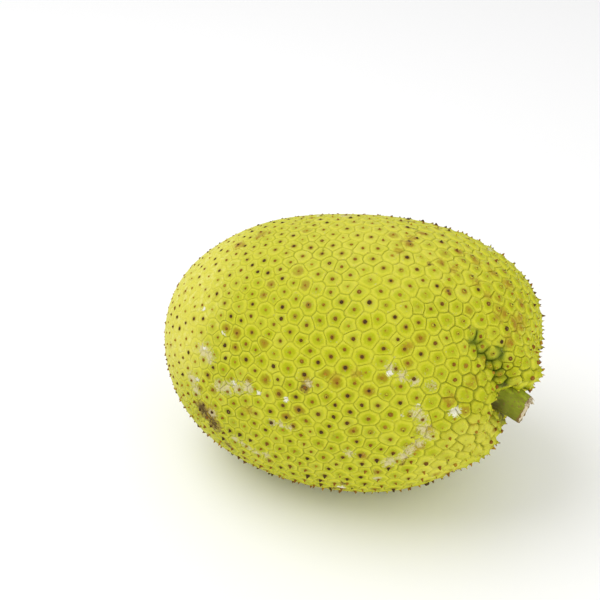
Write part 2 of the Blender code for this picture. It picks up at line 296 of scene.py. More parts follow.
def crowding_at(directions):
    """How much the discs here are swollen scales: 1 round the stem and 0 away from the funnel."""
    pressed = np.exp((directions @ unit(PRESSED) - 1) * 2 / PRESSED_SPREAD**2)
    return eased((CROWDING_ENDS - funnel_angle(directions)) / CROWDING_FADE) * (1 - pressed)


def disc_relief(directions):
    """How far the discs stand out: little at the blossom end, 1 further on, most near the stem."""
    angle = np.arccos(np.clip(directions @ unit(BLOSSOM_END), -1, 1))
    middling = (1 - SMOOTH_RELIEF) * eased((angle - SMOOTH_SKIN) / SMOOTH_FADE)
    most = STEM_RELIEF * eased((directions[..., 0] - 0.4) / 0.4)
    return SMOOTH_RELIEF + middling + most


def disc_cage(middles, corners, rings, tones, peaks, rng):
    """A mesh with one many-sided face a disc, and the discs' middles with their ways up."""
    place_of = {}
    sides = []
    faces = []
    for ring in rings:
        face = []
        for near, far in zip(ring, ring[1:] + ring[:1]):
            key = (min(near, far), max(near, far))
            if key not in place_of:
                place_of[key] = len(corners) + len(sides)
                sides.append(corners[near] + corners[far])
            face += [near, place_of[key]]
        faces.append(face)
    sides = unit(sides)
    sides = unit(sides + rng.normal(size=sides.shape) * SIDE_WAVER)
    rims, outward = skin_frames(np.concatenate((corners, sides)))
    feet, ways_up = skin_frames(middles)
    data = bpy.data.meshes.new("rind")
    data.from_pydata(rims.tolist(), [], faces)
    reach = [np.linalg.norm(rims[face] - foot, axis=1).mean() for face, foot in zip(faces, feet)]
    store(data, rim=rims, out=outward, middle=feet, up=ways_up, reach=reach, tone=tones, peak=peaks)
    store(data, crowding=crowding_at(middles), relief=disc_relief(middles))
    return data, feet, ways_up


class Wire:
    """A value in a node tree. Arithmetic on it adds the nodes that work it out."""

    def __init__(self, tree, socket=None):
        self.tree = tree
        self.socket = socket

    def node(self, kind, sockets=None, output=0, **settings):
        """One output of a new node. Its settings are made first, and then its sockets are fed."""
        made = self.tree.nodes.new(kind)
        for name, value in settings.items():
            setattr(made, name, value)
        for name, value in (sockets or {}).items():
            if isinstance(value, Wire):
                self.tree.links.new(value.socket, made.inputs[name])
            else:
                made.inputs[name].default_value = value
        return Wire(self.tree, made.outputs[output])

    def also(self, output):
        """Another output of the node that this value comes from."""
        return Wire(self.tree, self.socket.node.outputs[output])

    def math(self, operation, *others):
        sockets = dict(enumerate((self, *others)))
        return self.node("ShaderNodeMath", sockets, operation=operation)

    def __add__(self, other):
        return self.math("ADD", other)

    def __sub__(self, other):
        return self.math("SUBTRACT", other)

    def __mul__(self, other):
        return self.math("MULTIPLY", other)

    def __pow__(self, other):
        return self.math("POWER", other)

    __radd__ = __add__
    __rmul__ = __mul__

    def __rsub__(self, other):
        return self.node("ShaderNodeMath", {0: other, 1: self}, operation="SUBTRACT")

    def vector(self, operation, other=None, output=0):
        """Vector arithmetic on it, with another vector, or with a number for SCALE."""
        sockets = {0: self}
        if operation == "SCALE":
            sockets["Scale"] = other
        elif other is not None:
            sockets[1] = other
        return self.node("ShaderNodeVectorMath", sockets, output, operation=operation)

    def within(self, low, high):
        """0 up to low, 1 from high on, and smooth in between."""
        sockets = {"Value": self, "From Min": low, "From Max": high}
        return self.node("ShaderNodeMapRange", sockets, interpolation_type="SMOOTHSTEP")

def new_tree(name, sizes):
    """A Geometry Nodes tree with these named sizes: (start of its nodes, what it is given)."""
    tree = bpy.data.node_groups.new(name, "GeometryNodeTree")
    tree.interface.new_socket("Geometry", in_out="OUTPUT", socket_type="NodeSocketGeometry")
    tree.interface.new_socket("Geometry", in_out="INPUT", socket_type="NodeSocketGeometry")
    for size in sizes:
        tree.interface.new_socket(size, in_out="INPUT", socket_type="NodeSocketFloat")
    tree.interface.new_socket("Finish", in_out="INPUT", socket_type="NodeSocketMaterial")
    given = tree.nodes.new("NodeGroupInput").outputs
    return Wire(tree), {socket.name: Wire(tree, socket) for socket in given if socket.name}


def end_tree(shape, given):
    """The tree, with its last nodes: everything made real, with its finish, and handed out."""
    shape = shape.node("GeometryNodeRealizeInstances", {"Geometry": shape})
    shape = shape.node("GeometryNodeSetMaterial", {"Geometry": shape, "Material": given["Finish"]})
    handed_out = shape.tree.nodes.new("NodeGroupOutput")
    shape.tree.links.new(shape.socket, handed_out.inputs[0])
    return shape.tree


def named(start, name, kind="FLOAT"):
    """A value stored in the mesh, in a Geometry Nodes tree."""
    return start.node("GeometryNodeInputNamedAttribute", {"Name": name}, data_type=kind)


def kept(shape, name, value, selection=True):
    """The shape with this value stored in its points, under this name."""
    sockets = {"Geometry": shape, "Selection": selection, "Name": name, "Value": value}
    return shape.node("GeometryNodeStoreNamedAttribute", sockets, domain="POINT")


def moved(shape, **sockets):
    """The shape with its points moved by an Offset, or to a Position."""
    return shape.node("GeometryNodeSetPosition", {"Geometry": shape, **sockets})


def noise(place, scale, detail=2.0, roughness=0.5):
    """Cloudy noise, with this many clouds to the metre."""
    sockets = {"Vector": place, "Scale": scale, "Detail": detail, "Roughness": roughness}
    return place.node("ShaderNodeTexNoise", sockets)


def put(name, data):
    """A new object of this data, in the scene."""
    made = bpy.data.objects.new(name, data)
    bpy.context.scene.collection.objects.link(made)
    return made


def grown(data, tree, sizes, finish):
    """The mesh as the tree makes it, as a plain object with the tree's modifier gone."""
    name = data.name
    rough = put(name, data)
    modifier = rough.modifiers.new(tree.name, "NODES")
    modifier.node_group = tree
    inputs = {**sizes, "Finish": finish}
    for socket in tree.interface.items_tree:
        if socket.in_out == "INPUT" and socket.name in inputs:
            modifier[socket.identifier] = inputs[socket.name]
    evaluated = rough.evaluated_get(bpy.context.evaluated_depsgraph_get())
    mesh = bpy.data.meshes.new_from_object(evaluated)
    bpy.data.objects.remove(rough)
    bpy.data.meshes.remove(data)
    mesh.name = name
    mesh.shade_smooth()
    return put(name, mesh)


# Each disc rises in rings: (share of the way from its groove to its middle, height as a share of
# the crest's, how far the ring's outline is rounded towards a circle).
DISC_RINGS = (
    (0.09, 0.45, 0.10),
    (0.26, 1.00, 0.35),
    (0.55, 0.70, 0.65),
    (0.80, 0.62, 0.90),
)
RIND_SIZES = {"Groove": 0.0003, "Crest": 0.0005, "Scale": 0.0024, "Peak": 0.0014, "Waver": 0.0002}
SCALE_BULGE = 0.6  # a scale gains this share of its height as a dome, and the rest as a cone
SCALE_STEEPNESS = 2.2  # the dome is at its full height at 1 / this of the way in
PEAK_POWER = 1.6  # how late on the way in a disc's peak rises
WAVER_CLOUDS = 260.0  # to the metre


def disc_tree():
    """Raises each face of the cage as one disc, ring by ring, and leaves grooves between them."""
    start, given = new_tree("discs", RIND_SIZES)
    shape = given["Geometry"]
    relief, crowding, peak, reach = (
        named(start, name) for name in ("relief", "crowding", "peak", "reach")
    )
    rim, middle, up, out = (
        named(start, name, "FLOAT_VECTOR") for name in ("rim", "middle", "up", "out")
    )
    away = rim.vector("SUBTRACT", middle)
    length = away.vector("LENGTH", output="Value")
    away = away.vector("NORMALIZE")
    selection = True
    for share, height, rounding in DISC_RINGS:
        sockets = {"Mesh": shape, "Offset Scale": 0.0, "Individual": True, "Selection": selection}
        shape = start.node("GeometryNodeExtrudeMesh", sockets)
        selection = shape.also("Top")
        span = (length + (reach - length) * rounding) * (1 - share)
        bulge = SCALE_BULGE * math.sin(math.pi / 2 * min(1, SCALE_STEEPNESS * share))
        bulge += (1 - SCALE_BULGE) * share
        lift = given["Crest"] * relief * (1 - crowding) * height + given["Scale"] * crowding * bulge
        lift = lift + given["Peak"] * peak * share**PEAK_POWER
        place = middle.vector("ADD", away.vector("SCALE", span))
        place = place.vector("ADD", up.vector("SCALE", lift))
        shape = moved(shape, Selection=selection, Position=place)
        shape = kept(shape, "share", share, selection)
    in_groove = named(start, "share").math("LESS_THAN", DISC_RINGS[0][0] / 2)
    drop = given["Groove"] * relief * (1 + crowding * 2) * -1
    shape = moved(shape, Selection=in_groove, Offset=out.vector("SCALE", drop))
    position = start.node("GeometryNodeInputPosition")
    stray = noise(position, WAVER_CLOUDS).also("Color").vector("SUBTRACT", (0.5, 0.5, 0.5))
    shape = moved(shape, Offset=stray.vector("SCALE", given["Waver"] * 2))
    above_floor = position.vector("MAXIMUM", (-1, -1, 0))
    return end_tree(moved(shape, Position=above_floor), given)


def finish_tree(name):
    """A new material: (itself, the start of its nodes, its Principled shader)."""
    material = bpy.data.materials.new(name)
    material.use_nodes = True
    return material, Wire(material.node_tree), material.node_tree.nodes["Principled BSDF"]


def stored(start, name, output="Fac"):
    """A value stored in the mesh, in a material."""
    return start.node("ShaderNodeAttribute", output=output, attribute_name=name)


def coated(start, colour, coats):
    """This colour, under coats of others: (how far each covers those before it, its colour)."""
    skin = (*colour, 1)
    for cover, colour in coats:
        sockets = {0: cover, 6: skin, 7: (*colour, 1)}
        skin = start.node("ShaderNodeMix", sockets, 2, data_type="RGBA")
    return skin


def feed(shader, name, value):
    """Gives one of the shader's sockets a number, or a link to what changes over the surface."""
    if isinstance(value, Wire):
        shader.id_data.links.new(value.socket, shader.inputs[name])
    else:
        shader.inputs[name].default_value = value


def bumped(height, distance, strength):
    """The way out of a surface that stands this much further out where the height is 1."""
    sockets = {"Height": height, "Distance": distance, "Strength": strength}
    return height.node("ShaderNodeBump", sockets)


# Spots on the skin, as streaks: (how many spots, how far each reaches, where the streak starts,
# where it ends if it has more than one). Soot is nearly black, scurf is a pale scaly crust, latex
# is sap that ran out and dried white, and russet is cork over old scratches. The crease that runs
# up from the funnel gets painted shade, as do the lip under the stem and a line under the edge of
# the lobe over it; patches on the left and the lower right are painted yellower, as painted light.
STREAKS = {
    "soot": (
        (5, 0.0035, (-0.61, -0.78, -0.11), (-0.52, -0.83, -0.21)),
        (1, 0.0019, (-0.48, -0.78, -0.40)),
        (1, 0.0022, (0.00, -0.96, 0.28)),
        (2, 0.0019, (0.10, -0.79, -0.60), (0.04, -0.71, -0.70)),
        (6, 0.0011, (0.52, -0.86, -0.05), (0.42, -0.83, -0.37)),
        (3, 0.0012, (0.40, -0.05, 0.92), (0.61, -0.34, 0.71)),
    ),
    "scurf": (
        (2, 0.0031, (-0.57, -0.74, 0.36), (-0.52, -0.78, 0.34)),
        (2, 0.0028, (-0.62, -0.77, 0.11), (-0.61, -0.79, 0.04)),
        (4, 0.0028, (-0.48, -0.87, 0.14), (-0.31, -0.92, 0.21)),
        (3, 0.0017, (-0.18, -0.98, -0.03), (-0.09, -0.99, -0.05)),
        (5, 0.0018, (-0.42, -0.86, -0.28), (-0.25, -0.89, -0.38)),
        (1, 0.0024, (-0.53, -0.84, -0.11)),
        (1, 0.0016, (0.02, -0.95, 0.31)),
        (4, 0.0020, (0.41, -0.82, 0.40), (0.59, -0.77, 0.25)),
        (4, 0.0026, (0.52, -0.85, 0.09), (0.57, -0.82, -0.12)),
        (6, 0.0023, (0.52, -0.84, -0.18), (0.36, -0.86, -0.36)),
        (2, 0.0019, (0.20, -0.95, -0.24), (0.29, -0.80, -0.53)),
    ),
    "latex": (
        (2, 0.0011, (-0.59, -0.57, 0.57), (-0.45, -0.74, 0.50)),
        (2, 0.0010, (-0.57, -0.74, 0.37), (-0.61, -0.78, 0.12)),
        (3, 0.0012, (-0.39, -0.90, 0.20), (-0.09, -0.98, 0.17)),
        (1, 0.0015, (0.41, -0.84, 0.36)),
        (2, 0.0010, (0.46, -0.88, 0.08), (0.53, -0.83, 0.14)),
        (1, 0.0026, (0.69, -0.73, 0.04)),
        (1, 0.0018, (0.08, -0.74, -0.67)),
    ),
    "russet": (
        (2, 0.0030, (-0.51, -0.15, 0.85), (-0.39, -0.09, 0.92)),
        (4, 0.0023, (0.42, 0.10, 0.90), (0.37, -0.20, 0.91)),
        (5, 0.0022, (0.55, -0.15, 0.82), (0.84, -0.20, 0.50)),
        (5, 0.0025, (0.62, 0.05, 0.78), (0.90, 0.01, 0.44)),
        (3, 0.0034, (0.85, -0.22, 0.48), (0.93, -0.12, 0.35)),
        (2, 0.0030, (0.88, -0.32, 0.34), (0.92, -0.19, 0.34)),
        (2, 0.0021, (0.48, -0.71, 0.51), (0.61, -0.34, 0.71)),
        (3, 0.0023, (0.26, -0.89, 0.37), (0.02, -0.95, 0.31)),
        (2, 0.0028, (0.66, -0.74, 0.14), (0.74, -0.64, 0.20)),
        (2, 0.0020, (0.75, -0.66, -0.08), (0.77, -0.59, -0.23)),
        (2, 0.0025, (0.58, -0.81, -0.07), (0.51, -0.84, -0.20)),
        (2, 0.0023, (0.27, -0.93, -0.26), (-0.31, -0.95, 0.03)),
        (1, 0.0040, (-0.55, -0.82, -0.12)),
    ),
    # painted shade in the crease that runs up from the funnel
    "crease": (
        (5, 0.0035, (0.76, -0.47, 0.46), (0.89, -0.45, 0.09)),
        (2, 0.0032, (0.87, -0.39, 0.31), (0.87, -0.44, 0.21)),
        (1, 0.0020, (0.96, -0.21, -0.16)),
    ),
    # painted shade: on the lip under the stem, and a line along the edge of the lobe over it
    "funnel_shade": (
        (3, 0.0030, (0.92, -0.23, -0.32), (0.89, -0.20, -0.40)),
        (2, 0.0021, (0.90, -0.25, -0.36), (0.91, -0.28, -0.31)),
        (4, 0.0012, (0.89, -0.45, 0.07), (0.93, -0.36, 0.04)),
        (2, 0.0012, (0.97, -0.23, -0.08), (0.97, -0.23, -0.05)),
    ),
    # painted light: yellower patches on the left and the lower right
    "painted_light": (
        (1, 0.0100, (-0.66, -0.68, 0.30)),
        (2, 0.0100, (0.70, -0.67, -0.25), (0.60, -0.66, -0.46)),
        (1, 0.0090, (0.80, -0.51, -0.32)),
    ),
}
STREAK_STRAY = 4.0  # how far a spot strays from its streak, in radians for a metre of its reach
# The far side's spots are strewn all over it: (least reach, most reach).
FAR_SPOTS = {
    "soot": (0.0012, 0.0028),
    "scurf": (0.0016, 0.0030),
    "latex": (0.0009, 0.0018),
    "russet": (0.0020, 0.0036),
}
FAR_SIDE = (-0.1, 0.9, -0.2)
FAR_COUNT = 26  # of each kind


def mark_spots(name, rng):
    """The middles of this kind's spots, as directions, and how far each reaches."""
    spots = []
    for count, reach, *ends in STREAKS[name]:
        for share in np.linspace(0, 1, count):
            toward = np.array(ends[0]) * (1 - share) + np.array(ends[-1]) * share
            spots.append((unit(toward + rng.normal(size=3) * reach * STREAK_STRAY), reach))
    if name in FAR_SPOTS:
        strewn = unit(rng.normal(size=(FAR_COUNT * 4, 3)))  # enough for half of them to be left out
        strewn = strewn[strewn @ unit(FAR_SIDE) > 0.05][:FAR_COUNT]
        spots += zip(strewn, rng.uniform(*FAR_SPOTS[name], len(strewn)))
    return spots


def mark(piece, rng):
    """Stores how near each vertex is to each kind's spots: 1 in the middle, 0 at twice the reach."""
    places = np.array([vert.co for vert in piece.data.vertices])
    for name in STREAKS:
        nearness = np.zeros(len(places))
        for direction, reach in mark_spots(name, rng):
            distance = np.linalg.norm(places - placed(body(direction)), axis=1)
            nearness = np.maximum(nearness, 1 - distance / (2 * reach))
        store(piece.data, **{name: nearness})


DISC_GREEN = (0.425, 0.455, 0.003)
DEEP_GREEN = (0.355, 0.395, 0.003)
RIM_PALE = (0.620, 0.605, 0.032)
# painted shade: the darker green in the grooves between the discs
GROOVE_SHADE = (0.240, 0.290, 0.008)
SMOOTH_YELLOW = (0.710, 0.660, 0.095)
BLOOM = (0.800, 0.770, 0.260)
HALO_OLIVE = (0.360, 0.250, 0.006)
HALO_BROWN = (0.270, 0.125, 0.008)
RUSSET = (0.330, 0.175, 0.010)
SOOT_BROWN = (0.260, 0.150, 0.025)
SOOT = (0.085, 0.048, 0.016)
SCURF = (0.630, 0.560, 0.310)
FUNNEL_SHADE = (0.070, 0.058, 0.010)
# painted shade beside the stem and under the lobe
LATEX = (0.830, 0.810, 0.680)
# painted shade in the crease, and between the crowded scales round the stem
CREASE_SHADE = (0.095, 0.140, 0.005)


def rind_finish():
    """Waxy yellow-green skin: darker green in the grooves as painted shade, pale on the rims, brown
    round each point.
    """
    material, start, shader = finish_tree("rind")
    place = start.node("ShaderNodeTexCoord", output="Object")
    share = stored(start, "share")
    tone = stored(start, "tone")
    other_tone = (tone * 13.7).math("FRACT")
    crowding = stored(start, "crowding")
    grain = noise(place, 1500.0, 3.0)
    speckle = noise(place, 700.0, 3.0, 0.6)
    mottle = noise(place, 330.0, 3.0, 0.6)
    clouds = noise(place, 38.0, 3.0)
    ragged = share + (speckle - 0.5) * 0.20
    smooth = 1 - stored(start, "relief").within(0.35, 0.95)
    # painted sheen: the skin is painted paler towards the top, where the light from above falls
    top_sheen = place.node("ShaderNodeSeparateXYZ", {0: place}).also("Z") + (mottle - 0.5) * 0.06
    halo = ragged + (1 - tone) * 0.14
    # painted light: yellower patches on the left and the lower right
    painted_light = (stored(start, "painted_light") + (mottle - 0.5) * 0.6).within(0.0, 0.70)
    # painted shade in the grooves between the discs
    groove = (1 - share.within(0.0, 0.13)) * (0.16 + clouds.within(0.42, 0.60) * 0.40)
    broad = other_tone.within(0.90, 0.92) * ragged.within(0.24, 0.60)
    blotches = noise(place, 420.0, 4.0, 0.65)
    russet = (stored(start, "russet") + (blotches - 0.5) * 1.9).within(0.20, 0.80)
    flecks = blotches.within(0.58, 0.72) * clouds.within(0.45, 0.62)
    # painted shade in the crease
    crease = (stored(start, "crease") + (mottle - 0.5) * 0.8).within(0.10, 0.70)
    sooty = (stored(start, "soot") + (mottle - 0.5) * 1.6).within(0.15, 0.60)
    soot = (stored(start, "soot") + (speckle - 0.5) * 2.4).within(0.55, 0.80)
    scurf = stored(start, "scurf") + (speckle - 0.5) * 1.8 + (grain - 0.5) * 1.4
    scurf = scurf.within(0.25, 0.85)
    # painted shade beside the stem and under the lobe
    funnel_shade = (stored(start, "funnel_shade") + (speckle - 0.5) * 1.0).within(0.15, 0.75)
    latex = stored(start, "latex") + (speckle - 0.5) * 1.1 + (grain - 0.5) * 0.7
    latex = latex.within(0.32, 0.62)
    coats = (
        (clouds.within(0.42, 0.66) * 0.35, DEEP_GREEN),
        (other_tone.within(0.60, 1.0) * 0.30, DEEP_GREEN),
        ((1 - other_tone).within(0.65, 1.0) * 0.30, SMOOTH_YELLOW),
        (mottle.within(0.50, 0.70) * 0.40, DEEP_GREEN),
        (ragged.within(0.40, 0.80) * (0.60 - tone * 0.35), DEEP_GREEN),
        ((1 - ragged.within(0.18, 0.50)) * 0.75, RIM_PALE),
        # painted sheen towards the top
        (top_sheen.within(0.112, 0.145) * 0.60, SMOOTH_YELLOW),
        # painted light
        (painted_light * 0.45, SMOOTH_YELLOW),
        (smooth * 0.70, SMOOTH_YELLOW),
        ((1 - mottle).within(0.50, 0.66) * smooth * 0.50, BLOOM),
        ((1 - mottle).within(0.52, 0.70) * 0.18, SMOOTH_YELLOW),
        # painted shade in the grooves
        (groove * (1 - smooth * 0.6), GROOVE_SHADE),
        # painted shade between the crowded scales round the stem
        ((1 - share.within(0.0, 0.18)) * crowding * 0.35, CREASE_SHADE),
        (halo.within(0.60, 1.0) * (0.75 - tone * 0.35), HALO_OLIVE),
        (halo.within(0.76, 0.98) * (0.95 - tone * 0.40), HALO_BROWN),
        (broad * mottle.within(0.30, 0.60) * 0.65, RUSSET),
        (russet * (0.52 + ragged.within(0.1, 0.7) * 0.38), RUSSET),
        (flecks * 0.35, RUSSET),
        # painted shade in the crease
        (crease * (1 - share.within(0.10, 0.80)) * 0.9, CREASE_SHADE),
        (sooty * 0.70, SOOT_BROWN),
        (soot * 0.85, SOOT),
        (scurf * (0.85 - ragged.within(0.6, 0.9) * 0.6), SCURF),
        (funnel_shade * 0.92, FUNNEL_SHADE),
        (latex * 0.92, LATEX),
    )
    feed(shader, "Base Color", coated(start, DISC_GREEN, coats))
    feed(shader, "Roughness", 0.42 + speckle * 0.22 + soot * 0.2)
    feed(shader, "Specular IOR Level", 0.15)
    height = grain * 0.3 + speckle * 0.8 + mottle * 1.6 + scurf * 0.6 + latex
    feed(shader, "Normal", bumped(height, 0.00022, 0.7))
    return material


rng = np.random.default_rng(DISC_SEED)
middles, corners, rings = pavement(rng)
# How light each disc's brown is, from 0 to 1: it is lighter round the stem and at the other end.
tones = rng.uniform(size=len(middles)) + 0.4 * eased((2.6 - funnel_angle(middles)) / 1.2)
tones = np.minimum(tones + 0.2 * eased(-0.2 - middles[:, 0]), 1)
# How high each disc's peak is: there are none from the fruit's middle to the blossom end.
peaks = rng.uniform(0.5, 1.2, len(middles)) * eased((middles[:, 0] - 0.05) / 0.65)
cage, feet, ways_up = disc_cage(middles, corners, rings, tones, peaks, rng)
disc_reach = np.array([entry.value for entry in cage.attributes["reach"].data])
rind = grown(cage, disc_tree(), RIND_SIZES, rind_finish())
for name in ("rim", "out", "middle", "up", "reach", "peak"):
    rind.data.attributes.remove(rind.data.attributes[name])
mark(rind, rng)
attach(rind, "root")
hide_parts("fruit")

# --------------------------------------------------
# The points. Each disc ends in the dried tip of its flower: a hard thorn that is tall and often
# hooked at the stem end, a low knob at the other, or the ring-shaped scar of one that broke off.

POINT_SEED = 21
POINT_SIDES = 6
POINT_STEPS = 3
POINT_SINK = 0.0004
THORN, KNOB, SCAR = range(3)
# For each kind: (share of its top's width, how pinched it is half way, how its top is hollowed,
# how far it hooks over, height at the middle of the fruit, radius of its foot).
POINT_KINDS = (
    (0.00, 0.12, 0.0, 0.60, 0.0011, 0.00085),
    (0.40, -0.05, -0.35, 0.10, 0.0008, 0.00090),
    (0.66, 0.00, 0.50, 0.00, 0.0006, 0.00125),
)
SCAR_SHARES = (0.03, 0.17)  # of all points: everywhere, and on top of it at the stem
THORN_SHARES = (0.04, 0.80)  # of the others: likewise
POINT_GROWTH = (0.4, 0.0, -0.5)  # points are taller at the stem end and low down
HEIGHT_RANGE = (0.6, 1.3)
GIRTH_RANGE = (0.8, 1.2)
MOST_GIRTH = 0.40  # of the disc's reach
POINT_LEAN = 0.20
THORN_GREEN = 0.48  # how far up a thorn is green: knobs and scars are brown
LEAST_FOOT = 0.0002  # above the floor
# A point whose foot or tip would be lower than this has been worn away where the fruit rests.
SHOWN_FOOT = 0.0015
SHOWN_TIP = 0.0012


def point_cloud(rng):
    """A vertex for each disc's point, with its kind, its size and the way that it stands."""
    dice = rng.uniform(size=(2, len(middles)))
    scars = SCAR_SHARES[0] + SCAR_SHARES[1] * eased((2.7 - funnel_angle(middles)) / 1.2)
    thorns = THORN_SHARES[0] + THORN_SHARES[1] * eased((middles[:, 0] - 0.30) / 0.45)
    kind = np.where(dice[0] < scars, SCAR, np.where(dice[1] < thorns, THORN, KNOB))
    sizes = np.array(POINT_KINDS)[kind, 4:]
    growth = 1 + middles @ POINT_GROWTH
    crowding = crowding_at(middles)
    heights = sizes[:, 0] * growth * rng.uniform(*HEIGHT_RANGE, len(kind)) * (1 - 0.3 * crowding)
    girths = sizes[:, 1] * rng.uniform(*GIRTH_RANGE, len(kind)) * (1.2 - 0.4 * tones)
    girths = np.minimum(girths, MOST_GIRTH * disc_reach)
    lift = RIND_SIZES["Crest"] * disc_relief(middles) * (1 - crowding) * DISC_RINGS[-1][1]
    lift += RIND_SIZES["Scale"] * crowding
    lift += RIND_SIZES["Peak"] * peaks * DISC_RINGS[-1][0] ** PEAK_POWER
    spots = feet + (lift - POINT_SINK)[:, None] * ways_up
    spots[:, 2] = np.maximum(spots[:, 2], LEAST_FOOT)
    lean = unit(ways_up + POINT_LEAN * rng.normal(size=ways_up.shape))
    tips = spots + heights[:, None] * lean
    shown = (feet[:, 2] > SHOWN_FOOT) & (tips[:, 2] > SHOWN_TIP)
    data = bpy.data.meshes.new("points")
    data.from_pydata(spots[shown].tolist(), [], [])
    green = np.where(kind == THORN, THORN_GREEN, -0.5)
    spin = rng.uniform(0, 2 * math.pi, len(kind))
    store(data, stands=lean[shown], height=(heights + POINT_SINK)[shown], girth=girths[shown])
    store(data, kind=kind[shown], green=green[shown], tone=tones[shown], spin=spin[shown])
    return data


def point_shape(start, top, pinch, hollow, hook):
    """One point, of radius 1 and height 1: a cone or stump with pinched sides and a shaped top."""
    sockets = {"Vertices": POINT_SIDES, "Side Segments": POINT_STEPS}
    sockets |= {"Radius Top": top, "Radius Bottom": 1.0, "Depth": 1.0}
    shape = start.node("GeometryNodeMeshCone", sockets, fill_type="TRIANGLE_FAN")
    position = start.node("GeometryNodeInputPosition")
    x = position.node("ShaderNodeSeparateXYZ", {0: position})
    y = x.also("Y")
    rise = x.also("Z")
    width = 1 - pinch * (rise * math.pi).math("SINE")
    core = (x * x + y * y).math("LESS_THAN", 0.01) * rise.within(0.9, 0.99)
    shape = kept(shape, "rise", rise)
    shape = kept(shape, "scar", core * max(hollow, 0.0))
    sockets = {"X": x * width + hook * rise**3, "Y": y * width, "Z": rise - core * hollow}
    return moved(shape, Position=start.node("ShaderNodeCombineXYZ", sockets))


def points_tree():
    """Stands the right kind of point on every vertex."""
    start, given = new_tree("points", ())
    spin = start.node("ShaderNodeCombineXYZ", {"Z": named(start, "spin")})
    spin = start.node("FunctionNodeEulerToRotation", {0: spin})
    sockets = {"Rotation": spin, "Vector": named(start, "stands", "FLOAT_VECTOR")}
    turn = start.node("FunctionNodeAlignRotationToVector", sockets, axis="Z")
    girth = named(start, "girth")
    size = start.node("ShaderNodeCombineXYZ", {"X": girth, "Y": girth, "Z": named(start, "height")})
    kinds = []
    for index, kind in enumerate(POINT_KINDS):
        same = {"data_type": "INT", "operation": "EQUAL"}
        sockets = {2: named(start, "kind", "INT"), 3: index}
        chosen = start.node("FunctionNodeCompare", sockets, **same)
        sockets = {"Points": given["Geometry"], "Selection": chosen, "Rotation": turn, "Scale": size}
        sockets["Instance"] = point_shape(start, *kind[:4])
        kinds.append(start.node("GeometryNodeInstanceOnPoints", sockets))
    joined = start.node("GeometryNodeJoinGeometry", {"Geometry": kinds[0]})
    for kind in kinds[1:]:
        start.tree.links.new(kind.socket, joined.socket.node.inputs[0])
    return end_tree(joined, given)


POINT_GREEN = (0.520, 0.520, 0.030)
POINT_BLACK = (0.065, 0.034, 0.010)
POINT_BROWN = (0.240, 0.100, 0.010)
POINT_OCHRE = (0.420, 0.230, 0.014)
SCAR_TAN = (0.320, 0.200, 0.050)


def points_finish():
    """Horn-brown tips on green feet, and tan scars."""
    material, start, shader = finish_tree("point")
    place = start.node("ShaderNodeTexCoord", output="Object")
    tone = stored(start, "tone")
    grain = noise(place, 1800.0)
    light = tone + (grain - 0.5) * 0.3
    green = stored(start, "green") - stored(start, "rise") + (grain - 0.5) * 0.3
    coats = (
        (light.within(0.15, 0.55), POINT_BROWN),
        (light.within(0.60, 1.0) * 0.9, POINT_OCHRE),
        (stored(start, "scar").within(0.15, 0.40), SCAR_TAN),
        (green.within(-0.15, 0.15), POINT_GREEN),
    )
    feed(shader, "Base Color", coated(start, POINT_BLACK, coats))
    feed(shader, "Roughness", 0.6)
    feed(shader, "Specular IOR Level", 0.12)
    feed(shader, "Normal", bumped(grain, 0.0002, 0.5))
    return material


rng = np.random.default_rng(POINT_SEED)
points = grown(point_cloud(rng), points_tree(), {}, points_finish())
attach(points, "root")
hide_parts("fruit")

# --------------------------------------------------
# The stem. A green stalk, ribbed and pitted, that was cut through aslant. Its skin has torn
# along the upper edge of the cut, and the pith on the cut has dried pale.

STEM_RADIUS = 0.0064
STEM_ROOT = 0.005  # how far it goes into the fruit below the funnel's floor
STEM_LENGTH = 0.0275
STEM_BOW = 0.0016
STEM_FLARE = 0.08
STEM_FOOT = 0.0030  # how much wider it is at the root, where it spreads to the side below
FOOT_SIDE = (-0.7, -0.7)  # the way it spreads there, across the stem's own frame
STEM_SIDES = 64
STEM_RINGS = 60
CUT_FACES = (1.0, 0.03, 0.15)  # the way the cut looks, in the stem's own frame
STEM_RIBS = 9
RIB_HEIGHT = 0.00022
BARK_THICKNESS = 0.0005
CUT_DEPTH = 0.0003
CUT_RINGS = 9
RAG_SEED = 8
RAG_STRIPS = 15
RAG_SPAN = (math.radians(5), math.radians(115))  # from the far side over the top
RAG_STEPS = 5
RAG_LENGTH = (0.0024, 0.0046)
RAG_WIDTH = (0.0005, 0.0011)
RAG_THICKNESS = (0.00018, 0.0004)

toward = Vector(STEM_TOWARD).normalized()
stem_turn = toward.to_track_quat("X", "Z").to_matrix().to_4x4()
stem_foot = Vector(body(unit(FUNNEL_MIDDLE))) - STEM_ROOT * toward
STEM_PLACE = WHOLE_PLACE @ Matrix.Translation(stem_foot) @ stem_turn


def stem_wall(run, turn, inset=0.0):
    """Points of the stem's skin at this share of its length and these angles round it."""
    waist = np.sin(np.pi * run)
    foot = STEM_FOOT * (1 - run)
    ribs = np.sin(STEM_RIBS * turn + 2.2 * np.sin(2.3 * run + turn))
    ribs = ribs + 0.6 * np.sin(5 * turn - 3 * run)
    knots = np.sin(23 * run + 3 * np.sin(turn)) * np.sin(2 * turn + 9 * run)
    radius = STEM_RADIUS * (1 + STEM_FLARE * (0.5 - waist)) + foot - inset
    radius = radius + RIB_HEIGHT * (ribs + 0.7 * knots)
    y = radius * np.cos(turn) + FOOT_SIDE[0] * foot
    z = radius * np.sin(turn) + FOOT_SIDE[1] * foot
    end = STEM_LENGTH - (CUT_FACES[1] * y + CUT_FACES[2] * z) / CUT_FACES[0]
    return np.stack((run * end, y, z + STEM_BOW * waist), axis=-1)


